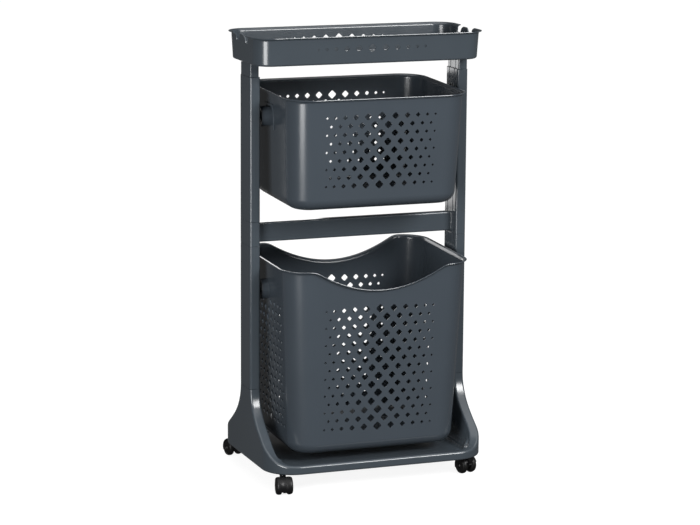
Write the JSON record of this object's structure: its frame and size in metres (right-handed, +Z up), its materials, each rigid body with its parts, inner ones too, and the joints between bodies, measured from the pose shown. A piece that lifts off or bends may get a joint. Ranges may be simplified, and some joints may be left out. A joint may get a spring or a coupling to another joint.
{
  "type": "laundry sorter on wheels",
  "caption": "Free-standing plastic laundry sorter: a shallow top tray and two hanging perforated baskets between two posts on a rolling base.",
  "frame": {"origin": "on the ground, centred under the sorter", "axes": "+X to the sorter's right seen from the front, front faces -Y, +Z up"},
  "size_m": [0.5116, 0.3815, 0.9405],
  "materials": {
    "frame_plastic": "moulded anthracite plastic, satin gloss",
    "basket_plastic": "moulded anthracite plastic, satin",
    "caster_plastic": "black moulded plastic",
    "wheel_nylon": "black nylon",
    "steel": "bright zinc plated steel"
  },
  "bodies": {
    "frame": {"base_tray": "frame_plastic", "lower_post_left": "frame_plastic", "lower_post_right": "frame_plastic", "mid_rail": "frame_plastic", "upper_post_left": "frame_plastic", "upper_post_right": "frame_plastic", "top_tray": "frame_plastic", "peg_upper_left": "frame_plastic", "peg_upper_right": "frame_plastic", "peg_lower_left": "frame_plastic", "peg_lower_right": "frame_plastic", "caster_front_left_bush": "caster_plastic", "caster_front_right_bush": "caster_plastic", "caster_back_left_bush": "caster_plastic", "caster_back_right_bush": "caster_plastic"},
    "upper_basket_body": {"upper_basket": "basket_plastic"},
    "lower_basket_body": {"lower_basket": "basket_plastic"},
    "caster_front_left_fork": {"caster_front_left_stem": "steel", "caster_front_left_hood": "caster_plastic", "caster_front_left_axle": "steel"},
    "caster_front_left_wheel_a_body": {"caster_front_left_wheel_a": "wheel_nylon"},
    "caster_front_left_wheel_b_body": {"caster_front_left_wheel_b": "wheel_nylon"},
    "caster_front_right_fork": {"caster_front_right_stem": "steel", "caster_front_right_hood": "caster_plastic", "caster_front_right_axle": "steel"},
    "caster_front_right_wheel_a_body": {"caster_front_right_wheel_a": "wheel_nylon"},
    "caster_front_right_wheel_b_body": {"caster_front_right_wheel_b": "wheel_nylon"},
    "caster_back_left_fork": {"caster_back_left_stem": "steel", "caster_back_left_hood": "caster_plastic", "caster_back_left_axle": "steel"},
    "caster_back_left_wheel_a_body": {"caster_back_left_wheel_a": "wheel_nylon"},
    "caster_back_left_wheel_b_body": {"caster_back_left_wheel_b": "wheel_nylon"},
    "caster_back_right_fork": {"caster_back_right_stem": "steel", "caster_back_right_hood": "caster_plastic", "caster_back_right_axle": "steel"},
    "caster_back_right_wheel_a_body": {"caster_back_right_wheel_a": "wheel_nylon"},
    "caster_back_right_wheel_b_body": {"caster_back_right_wheel_b": "wheel_nylon"}
  },
  "joints": [
    {"name": "upper_basket_tip", "type": "hinge", "parent": "frame", "child": "upper_basket_body", "pos_m": [0, 0, 0.768], "axis": [1, 0, 0], "range_deg": [-18, 18]},
    {"name": "lower_basket_tip", "type": "hinge", "parent": "frame", "child": "lower_basket_body", "pos_m": [0, 0, 0.402], "axis": [1, 0, 0], "range_deg": [-8, 8]},
    {"name": "caster_front_left_swivel", "type": "hinge", "parent": "frame", "child": "caster_front_left_fork", "pos_m": [-0.2115, -0.1515, 0.0373], "axis": [0, 0, 1], "continuous": true},
    {"name": "caster_front_left_wheel_a_spin", "type": "hinge", "parent": "caster_front_left_fork", "child": "caster_front_left_wheel_a_body", "pos_m": [-0.22549, -0.16579, 0.0175], "axis": [0.9848, -0.1736, 0], "continuous": true},
    {"name": "caster_front_left_wheel_b_spin", "type": "hinge", "parent": "caster_front_left_fork", "child": "caster_front_left_wheel_b_body", "pos_m": [-0.20324, -0.16971, 0.0175], "axis": [0.9848, -0.1736, 0], "continuous": true},
    {"name": "caster_front_right_swivel", "type": "hinge", "parent": "frame", "child": "caster_front_right_fork", "pos_m": [0.2115, -0.1515, 0.0373], "axis": [0, 0, 1], "continuous": true},
    {"name": "caster_front_right_wheel_a_spin", "type": "hinge", "parent": "caster_front_right_fork", "child": "caster_front_right_wheel_a_body", "pos_m": [0.21912, -0.13301, 0.0175], "axis": [-0.9781, -0.2079, 0], "continuous": true},
    {"name": "caster_front_right_wheel_b_spin", "type": "hinge", "parent": "caster_front_right_fork", "child": "caster_front_right_wheel_b_body", "pos_m": [0.19702, -0.13771, 0.0175], "axis": [-0.9781, -0.2079, 0], "continuous": true},
    {"name": "caster_back_left_swivel", "type": "hinge", "parent": "frame", "child": "caster_back_left_fork", "pos_m": [-0.2115, 0.1515, 0.0373], "axis": [0, 0, 1], "continuous": true},
    {"name": "caster_back_left_wheel_a_spin", "type": "hinge", "parent": "caster_back_left_fork", "child": "caster_back_left_wheel_a_body", "pos_m": [-0.20324, 0.16971, 0.0175], "axis": [-0.9848, -0.1736, 0], "continuous": true},
    {"name": "caster_back_left_wheel_b_spin", "type": "hinge", "parent": "caster_back_left_fork", "child": "caster_back_left_wheel_b_body", "pos_m": [-0.22549, 0.16579, 0.0175], "axis": [-0.9848, -0.1736, 0], "continuous": true},
    {"name": "caster_back_right_swivel", "type": "hinge", "parent": "frame", "child": "caster_back_right_fork", "pos_m": [0.2115, 0.1515, 0.0373], "axis": [0, 0, 1], "continuous": true},
    {"name": "caster_back_right_wheel_a_spin", "type": "hinge", "parent": "caster_back_right_fork", "child": "caster_back_right_wheel_a_body", "pos_m": [0.22954, 0.16014, 0.0175], "axis": [-0.866, 0.5, 0], "continuous": true},
    {"name": "caster_back_right_wheel_b_spin", "type": "hinge", "parent": "caster_back_right_fork", "child": "caster_back_right_wheel_b_body", "pos_m": [0.20996, 0.17144, 0.0175], "axis": [-0.866, 0.5, 0], "continuous": true}
  ]
}
